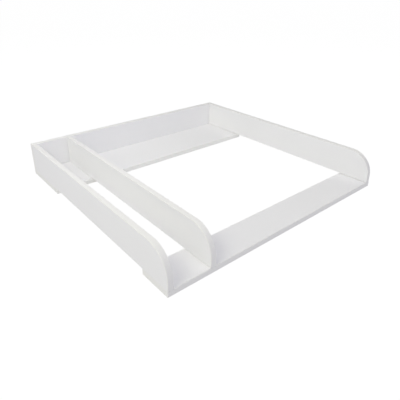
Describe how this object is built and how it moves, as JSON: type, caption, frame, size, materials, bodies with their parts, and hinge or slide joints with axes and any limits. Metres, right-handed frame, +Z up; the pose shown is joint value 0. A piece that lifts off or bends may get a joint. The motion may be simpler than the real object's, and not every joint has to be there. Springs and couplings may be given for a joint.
{
  "type": "changing top frame",
  "caption": "White board frame that sits over a dresser top: low base boards, round-fronted side panels, a back panel, and a divider that forms a side tray.",
  "frame": {"origin": "centre of the footprint, on the plane of the base boards' undersides", "axes": "+X to the right along the front edge, +Y to the rear towards the back panel, +Z up; the tray is on the -X side"},
  "size_m": [0.8, 0.78, 0.11],
  "materials": {
    "white_lacquer": "satin white lacquer on fibreboard, edges eased",
    "zinc_steel": "bright zinc plating",
    "beech": "raw turned beech"
  },
  "bodies": {
    "root": {"front_base_board": "white_lacquer", "rear_base_board": "white_lacquer", "left_side_panel": "white_lacquer", "divider_panel": "white_lacquer", "right_side_panel": "white_lacquer", "back_panel": "white_lacquer", "back_base_dowel_1": "beech", "back_base_dowel_2": "beech", "back_base_dowel_3": "beech", "back_base_screw_1": "zinc_steel", "back_base_screw_2": "zinc_steel", "back_base_screw_3": "zinc_steel", "back_base_screw_4": "zinc_steel", "back_divider_dowel": "beech", "back_divider_screw_1": "zinc_steel", "back_divider_screw_2": "zinc_steel", "back_left_dowel": "beech", "back_left_screw_1": "zinc_steel", "back_left_screw_2": "zinc_steel", "back_right_dowel": "beech", "back_right_screw_1": "zinc_steel", "back_right_screw_2": "zinc_steel", "front_divider_dowel": "beech", "front_divider_screw_1": "zinc_steel", "front_divider_screw_2": "zinc_steel", "front_left_dowel": "beech", "front_left_screw_1": "zinc_steel", "front_left_screw_2": "zinc_steel", "front_right_dowel": "beech", "front_right_screw_1": "zinc_steel", "front_right_screw_2": "zinc_steel", "rear_divider_dowel": "beech", "rear_divider_screw_1": "zinc_steel", "rear_divider_screw_2": "zinc_steel", "rear_left_dowel": "beech", "rear_left_screw_1": "zinc_steel", "rear_left_screw_2": "zinc_steel", "rear_right_dowel": "beech", "rear_right_screw_1": "zinc_steel", "rear_right_screw_2": "zinc_steel"}
  },
  "joints": []
}
